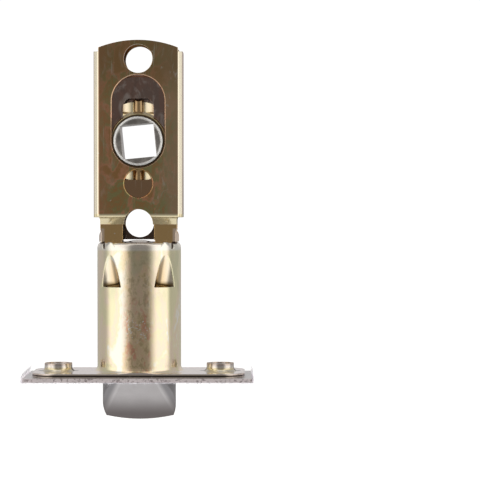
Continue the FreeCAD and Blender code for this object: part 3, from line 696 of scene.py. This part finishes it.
# %% [markdown]
# ## From a grid of points to a mesh
# The next pieces are surfaces: a formula gives a point for each pair of parameters, so a
# whole grid of points is one numpy array. The helper joins neighbours into four-sided faces.

# %% Mesh from a grid
def grid_faces(rows, columns, wrap_rows=False, wrap_columns=False):
    """Quads on a grid of rows by columns; wrapping joins the last row or column to the first."""
    row = np.arange(rows if wrap_rows else rows - 1)
    column = np.arange(columns if wrap_columns else columns - 1)
    here, across = np.meshgrid(row, column, indexing="ij")
    below, beside = (here + 1) % rows, (across + 1) % columns
    corners = [here * columns + across, here * columns + beside,
               below * columns + beside, below * columns + across]
    return np.stack(corners, axis=-1).reshape(-1, 4)


def new_object(name, points, faces, material):
    """An object at the origin whose smooth mesh holds the points."""
    mesh = bpy.data.meshes.new(name)
    mesh.from_pydata(points.reshape(-1, 3), [], faces)
    mesh.polygons.foreach_set("use_smooth", np.ones(len(mesh.polygons), bool))
    mesh.materials.append(material)
    mesh.update()
    made = bpy.data.objects.new(name, mesh)
    bpy.context.scene.collection.objects.link(made)
    print(name, len(mesh.vertices), "points", len(mesh.polygons), "faces")
    return made


def latch_piece(name, points, faces, material, body):
    """A new piece of the latch, which rides on a body and wears the finish that it is given."""
    piece = new_object(name, points, faces, material)
    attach(piece, body)
    return piece


print("a grid of 3 by 3 points has", len(grid_faces(3, 3)), "faces")

# %% [markdown]
# ## The bolt spring
# A coil spring is a circle carried along a helix. At both ends real springs close up: the last
# turn lies on its neighbour and is ground flat. We ease the rise of the helix near its ends and
# flatten whatever stands past them. The wire's two cut ends are closed with a flat face.

# %% Spring wire
SPRING_WIRE = 0.8 * MM
SPRING_TURNS = 7.5


def spring_steel():
    """Drawn wire: dark oiled steel with lines along the coil and a dull sheen."""
    wire = new_finish("drawn_spring_wire")
    lines = wire.noise(0.4, 3.0, 0.6, 0.0, (3.0, 3.0, 1.0))
    colour = wire.ramp(lines, [(0.3, (0.20, 0.20, 0.21)), (0.7, (0.42, 0.42, 0.43))])
    return wire.surface(Base_Color=colour, Metallic=1.0, Roughness=(lines - 0.5) * 0.3 + 0.34,
                        Normal=wire.bump(lines, 0.3, 0.02 * MM))


def coil_points(low, high, radius, wire, turns, along=620, around=14):
    """Helix of turns with a closed turn at each end: the height rises by one wire over each
    end turn and by the rest of the length over the open turns between them."""
    share = np.linspace(0.0, 1.0, along)[:, None]
    angle = 2 * math.pi * turns * share
    closed = 1.0 / turns
    open_share = np.clip((share - closed) / (1 - 2 * closed), 0.0, 1.0)
    start_rise = np.clip(share / closed, 0.0, 1.0) * wire
    end_rise = np.clip((share - 1 + closed) / closed, 0.0, 1.0) * wire
    height = low + wire / 2 + start_rise + open_share * (high - low - 3 * wire) + end_rise
    round_angle = np.linspace(0.0, 2 * math.pi, around, endpoint=False)[None, :]
    reach = radius + wire / 2 * np.cos(round_angle)
    level = np.clip(height - wire / 2 * np.sin(round_angle), low, high)
    return np.stack([reach * np.cos(angle), reach * np.sin(angle), level], axis=-1)


print("wire of", SPRING_WIRE / MM, "mm in", SPRING_TURNS, "turns")

# %% [markdown]
# The spring stands in the box of the solid that it replaces, and rides on the housing.

# %% Spring in place
spring_low, spring_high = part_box("bolt_spring")
coil = coil_points(spring_low.z, spring_high.z, spring_high.x - SPRING_WIRE / 2, SPRING_WIRE,
                   SPRING_TURNS)
rows, columns = coil.shape[:2]
wire_end = list(range(columns))
wire_faces = grid_faces(rows, columns, wrap_columns=True).tolist()
wire_faces += [wire_end[::-1], [(rows - 1) * columns + corner for corner in wire_end]]
spring = latch_piece("coil_spring", coil, wire_faces, spring_steel(), "housing")
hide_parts("bolt_spring")
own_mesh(spring)

# %% [markdown]
# ## The torn protective film
# A clear film still covers the faceplate. It was cut too long, so both ends have folded up round
# the plate, and its long edges are frayed and hang down in places. The sheet is a flat ring round
# the bolt, worked out first: one parameter goes round, the other runs from the bolt's window out
# to the rim along the upper face and back along the lower one. Then the ring is folded: what lies
# past the plate's end follows a path that turns up and leans in.

# %% Film sheet, flat
FLAP = 2.7 * MM
TINY = 0.001
FRAY_WAVES = ((31, 0.35), (73, 0.3), (171, 0.3), (397, 0.25))


def frayed(angle, waves, seed):
    """A sum of sines of growing frequency with fixed phases, between about -1 and 1."""
    return sum(np.sin(angle * count + seed * (index + 1) * 2.4) * share
               for index, (count, share) in enumerate(waves))


def flat_ring(half_length, half_width, window, window_depth, around=1500, across=22):
    """A point's direction is an angle, and its reach runs by a share from the window's rim to
    the sheet's, which a fray moves in and out. Points lie closer together towards the rim. The
    face is 1 on the way out, over the upper face, and -1 on the way back, under the lower."""
    angle = np.linspace(0.0, 2 * math.pi, around, endpoint=False)[:, None]
    there = 1 - (1 - np.linspace(0.0, 1.0, across)) ** 1.6
    share = np.concatenate([there, there[::-1]])[None, :]
    face = np.concatenate([np.ones(across), -np.ones(across)])[None, :]
    cosine, sine = np.cos(angle), np.sin(angle)
    inner = np.minimum(window, window_depth / np.maximum(np.abs(sine), TINY))
    outer = np.minimum(half_length / np.maximum(np.abs(cosine), TINY),
                       half_width / np.maximum(np.abs(sine), TINY))
    ends = np.clip(np.abs(cosine) * 30 - 27.3, 0.0, 1.0)
    fray = frayed(angle, FRAY_WAVES, 1.7) * (0.24 + 0.7 * ends) * MM
    reach = inner + (outer + fray - inner) * share
    return reach * cosine, reach * sine, share, face


print("the film stands", FLAP / MM, "mm past the plate at each end before it is folded")

# %% [markdown]
# Folding is the second step. Along the fold's path a heading turns from level to upright and
# then leans in, so the path is a running sum of cosines and sines.

# %% Film sheet, folded
FILM_GAP = 0.07 * MM
FILM_THICKNESS = 0.05 * MM
RIPPLE = 0.03 * MM
EDGE_WIDTH = 1.1 * MM
EDGE_HANG = 0.16 * MM
HANG_WAVES = ((0.9, 0.5), (2.3, 0.45), (6.1, 0.3), (14.3, 0.2))


def fold_path(length, steps=400):
    """Where a strip goes past the plate's end: its heading turns from level to upright within
    half a millimetre, then leans in, and the path is the running sum of that heading."""
    past = np.linspace(0.0, length, steps)
    upright = np.clip(past / (0.5 * MM), 0.0, 1.0)
    leaning = np.clip((past - 1.2 * MM) / (1.4 * MM), 0.0, 1.0)
    heading = math.radians(92.0) * upright + math.radians(34.0) * leaning
    gap = past[1]
    return past, np.cumsum(np.cos(heading)) * gap, np.cumsum(np.sin(heading)) * gap


def film_points(half_length, half_width, window, window_depth):
    """The folded ring: ripples and the hanging edge, a sum of sines along X, move it down, its
    two faces lie a film's thickness apart, and what is past the end follows the fold."""
    x, y, share, face = flat_ring(half_length + FLAP, half_width, window, window_depth)
    ripple = np.sin(x * 900 + 1.2) * np.sin(y * 1300 + 0.4) * RIPPLE
    edge = np.clip((np.abs(y) - half_width + EDGE_WIDTH) / EDGE_WIDTH, 0.0, 1.3) ** 2
    hang = np.clip(0.5 + 0.5 * frayed(x / MM, HANG_WAVES, 0.8), 0.0, 1.2) * EDGE_HANG
    thickness = FILM_THICKNESS * (1.0 - 0.6 * share)
    level = np.minimum(ripple - FILM_GAP - edge * hang, -thickness / 2)
    level = level + face * thickness / 2
    past, out, up = fold_path(2.2 * FLAP)
    beyond = np.clip(np.abs(x) - half_length, 0.0, None)
    outward = np.interp(beyond, past, out) - face * thickness * 0.5 * (beyond > 0)
    x = np.where(beyond > 0, np.sign(x) * (half_length + outward), x)
    return np.stack([x, y, level + np.interp(beyond, past, up)], axis=-1)


print("the fold rises", round(fold_path(FLAP)[2][-1] / MM, 2), "mm")

# %% [markdown]
# Clear film shows little of itself where it lies flat. Torn and folded, it turns milky, so its
# alpha is high only near the rim and the ends. A faint white emission paints a glow on it.

# %% Film in place
WINDOW_GAP = 0.7 * MM
FILM_MARGIN = 0.25 * MM
CLEAR_VIOLET = (0.74, 0.72, 0.78)
MILKY = (0.97, 0.96, 0.98)


def clear_film():
    """Thin clear plastic, milky and faintly violet where it is torn, along its rim and ends, with
    a faint painted glow.
    """
    film = new_finish("clear_film")
    crease = film.noise(1.1, 4.0, 0.65, 1.5)
    milk = crease.step(0.42, 0.62)
    colour = film.mix(milk, CLEAR_VIOLET, MILKY)
    x, y, _ = film.axes()
    torn = 1 - (1 - x.size().step(25.5, 28.4)) * (1 - y.size().step(10.8, 12.5))
    # The faint white emission is a painted glow on the film and its threads.
    return film.surface(Base_Color=colour, Roughness=crease * 0.3 + 0.12,
                        Alpha=(milk * 0.4 + 0.3) * (torn * 0.84 + 0.16), IOR=1.5,
                        Emission_Color=(0.96, 0.94, 0.97, 1.0), Emission_Strength=0.22,
                        Normal=film.bump(crease, 0.5, 0.05 * MM))


film_finish = clear_film()
bolt_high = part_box("bolt_head")[1]
plate_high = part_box("faceplate")[1]
rings = film_points(plate_high.x + 0.1 * MM, plate_high.y + FILM_MARGIN,
                    bolt_high.x + WINDOW_GAP, bolt_high.y + WINDOW_GAP)
film = latch_piece("torn_film", rings, grid_faces(*rings.shape[:2], True, True).tolist(),
                   film_finish, "housing")
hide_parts("protective_film")

# %% [markdown]
# The torn edge also sheds fine threads. Fixed random numbers give each of them a place on the
# rim, a length and a bend. Most hang down or stand out, and one long one stands up in front.

# %% Lines of the threads
THREADS = 420
THREAD_STEPS = 6
LONG_THREAD_START_X = 3.0 * MM
LONG_THREAD = 2.3 * MM


def thread_lines(random, half_length, half_width):
    """Middle lines that start on the film's rim: along one, the distance grows evenly while
    its heading turns. The first is the long one."""
    x = random.uniform(-half_length, half_length, THREADS)
    side = np.where(random.uniform(0, 1, THREADS) < 0.6, -1.0, 1.0)
    at_end = random.uniform(0, 1, THREADS) < 0.22
    x = np.where(at_end, np.sign(x) * half_length, x)
    y = np.where(at_end, random.uniform(-half_width, half_width, THREADS), side * half_width)
    start = np.stack([x, y, np.full(THREADS, -0.12 * MM)], axis=-1)
    length = random.uniform(0.25, 0.95, THREADS) * MM
    heading = random.uniform(-1.25, 0.7, THREADS) * 1.4
    lean = random.uniform(-1.2, 1.2, THREADS)
    start[0] = (LONG_THREAD_START_X, -half_width - 0.05 * MM, -0.1 * MM)
    length[0], heading[0], lean[0] = LONG_THREAD, 1.45, 0.35
    share = np.linspace(0.0, 1.0, THREAD_STEPS)[None, :]
    gone = length[:, None] * share
    turn = heading[:, None] * (0.4 + 0.6 * share)
    outward = (np.where(at_end, 0.25, 1.0) * side)[:, None] * np.cos(turn) * 0.5
    along = np.sin(lean[:, None] * (0.5 + share))
    way = np.stack([along * gone, outward * gone, np.sin(turn) * gone], axis=-1)
    return start[:, None, :] + way


random = np.random.default_rng(11)
lines = thread_lines(random, plate_high.x + 0.2 * MM, plate_high.y + 0.2 * MM)
print("lines of the threads:", lines.shape)

# %% [markdown]
# Each thread is a thin three-sided tube along its line, and all of them are one array: threads
# by steps by corners. One thread's faces, moved on by its number of points, serve the next.

# %% Film threads
def tubes_along(line, radius, corners=3):
    """Corners at even angles round each line, square to it: the two directions across it are
    cross products, the first with a fixed direction. The radius shrinks to a point."""
    ahead = np.gradient(line, axis=1)
    ahead /= np.linalg.norm(ahead, axis=-1, keepdims=True)
    across = np.cross(ahead, (0.6, 0.0, 0.8))
    across /= np.linalg.norm(across, axis=-1, keepdims=True)
    over = np.cross(ahead, across)
    corner = (np.arange(corners) * 2 * math.pi / corners)[:, None]
    ring = across[:, :, None] * np.cos(corner) + over[:, :, None] * np.sin(corner)
    thin = radius[:, None] * (1.05 - np.linspace(0.0, 1.0, line.shape[1])[None, :])
    return line[:, :, None] + ring * thin[:, :, None, None]


threads = tubes_along(lines, random.uniform(0.02, 0.05, THREADS) * MM)
count, steps, corners = threads.shape[:3]
one_thread = grid_faces(steps, corners, wrap_columns=True)
first_point = (np.arange(count) * steps * corners)[:, None]
thread_faces = (first_point[:, :, None] + one_thread[None]).reshape(-1, 4).tolist()
thread_faces += (first_point + np.array([[2, 1, 0]])).tolist()
thread_faces += (first_point + (steps - 1) * corners + np.array([[0, 1, 2]])).tolist()
latch_piece("film_threads", threads, thread_faces, film_finish, "housing")

# %% [markdown]
# ## Floor, light and camera
# The studio is a pale, matt floor below the latch, kept out of the reflections, and all light
# comes from the sky. From underneath the floor is clear, so that the bolt and the plate can be
# seen from below.

# %% Floor
FLOOR_HEIGHT = -0.036
STAGE_RADIUS = 6.0
FLOOR_TONES = ((0.93, 0.93, 0.93), (0.97, 0.97, 0.97))


def pale_floor():
    floor = new_finish("pale_floor")
    tone = floor.noise(300.0, 2.0)
    underneath = Value(floor, floor.node("NewGeometry").outputs["Backfacing"])
    return floor.surface(Base_Color=floor.mix(tone, *FLOOR_TONES), Roughness=0.85,
                         Emission_Color=(1.0, 1.0, 1.0, 1.0), Emission_Strength=0.5,
                         Alpha=1 - underneath)


def disc_points(radius, height, around=64):
    """Rings from the centre out to a radius, all at one height."""
    angle = np.linspace(0.0, 2 * math.pi, around, endpoint=False)[:, None]
    reach = np.linspace(0.1 * MM, radius, 3)[None, :]
    level = np.full((around, reach.shape[1]), height)
    return np.stack([reach * np.cos(angle), reach * np.sin(angle), level], axis=-1)


disc = disc_points(STAGE_RADIUS, FLOOR_HEIGHT)
floor_faces = grid_faces(*disc.shape[:2], wrap_rows=True).tolist()
ground = new_object("floor", disc, floor_faces, pale_floor())
ground.visible_glossy = False

# %% [markdown]
# The sky is a function of direction. The turn is the angle from the camera's side, 0 in front of
# the latch and 180 behind it. A wide soft box on each side is a range of turns with soft
# borders, and between them the room is dim. Polished zinc shows the dim front as the brown band
# down the tube and the case, and the dim back as the grey edges of the tube. High in front a
# paler strip gives the tube's rounded shoulder its grey crescents. The camera itself sees plain
# white, as in a cut-out picture, because only a camera ray turns the sky white.

# %% Soft boxes in the sky
BOX_LIGHT = (1.16, 1.14, 1.10)
FRONT_DIM = (0.235, 0.228, 0.220)
STRIP_LIGHT = (0.30, 0.29, 0.285)
BACK_DIM = (0.46, 0.455, 0.45)
BEHIND = (0.62, 0.60, 0.60)
OVERHEAD = (0.75, 0.74, 0.73)
BELOW = (0.75, 0.75, 0.75)
BACKDROP = (1.05, 1.05, 1.05)


def studio_sky():
    """World light by turn (degrees from the camera's side) and height (sine of the elevation)."""
    world = bpy.data.worlds.new("studio_sky")
    bpy.context.scene.world = world
    sky = Finish(world)
    x, y, height = sky.axes("Generated", 1.0)
    turn = x.maths("ARCTAN2", x, -y) * (180 / math.pi)
    left = (-turn).step(16.0, 47.0) * (1 - (-turn).step(80.0, 106.0))
    right = turn.step(24.0, 54.0) * (1 - turn.step(82.0, 101.0))
    front = 1 - turn.size().step(44.0, 60.0)
    colour = sky.mix(front * height.within(0.42, 0.72, 0.12), FRONT_DIM, STRIP_LIGHT)
    colour = sky.mix(turn.size().step(84.0, 106.0), colour, BACK_DIM)
    horizon = turn.size().step(130.0, 155.0) * height.within(0.02, 0.40, 0.03)
    colour = sky.mix(horizon, colour, BEHIND)
    level = height.within(-0.72, 0.97, 0.12)
    colour = sky.mix((left + right) * level, colour, BOX_LIGHT)
    colour = sky.mix(height.step(0.955, 0.99), colour, OVERHEAD)
    colour = sky.mix((-height).step(0.50, 0.86), colour, BELOW)
    seen = sky.node("LightPath").outputs["Is Camera Ray"]
    colour = sky.mix(seen, colour, BACKDROP)
    light = sky.node("Background", {}, {"Color": colour, "Strength": 1.0})
    sky.node("OutputWorld", {}, {"Surface": light.outputs[0]})


studio_sky()
print("sky lights:", BOX_LIGHT, FRONT_DIM, BACK_DIM)

# %% [markdown]
# The camera stands in front and a little to the right, level with the lower half of the case,
# because the photo shows the left and upper walls of the hub's hole. A long lens keeps the
# latch almost free of perspective.

# %% Camera
CAMERA_PLACE = (0.0255, -0.560, 0.0477)
CAMERA_AIM = (0.0255, 0.0, 0.0351)
CAMERA_LENS = 166.0
SENSOR_WIDTH = 36.0
camera_data = bpy.data.cameras.new("camera")
camera_data.lens = CAMERA_LENS
camera_data.sensor_width = SENSOR_WIDTH
camera = bpy.data.objects.new("camera", camera_data)
bpy.context.scene.collection.objects.link(camera)
camera.location = CAMERA_PLACE
drop = math.atan2(CAMERA_PLACE[2] - CAMERA_AIM[2], CAMERA_AIM[1] - CAMERA_PLACE[1])
camera.rotation_euler = (math.pi / 2 - drop, 0.0, 0.0)
bpy.context.scene.camera = camera
bpy.context.scene.view_settings.view_transform = "Standard"
print("camera looks down by", round(math.degrees(drop), 2), "degrees")

# %% [markdown]
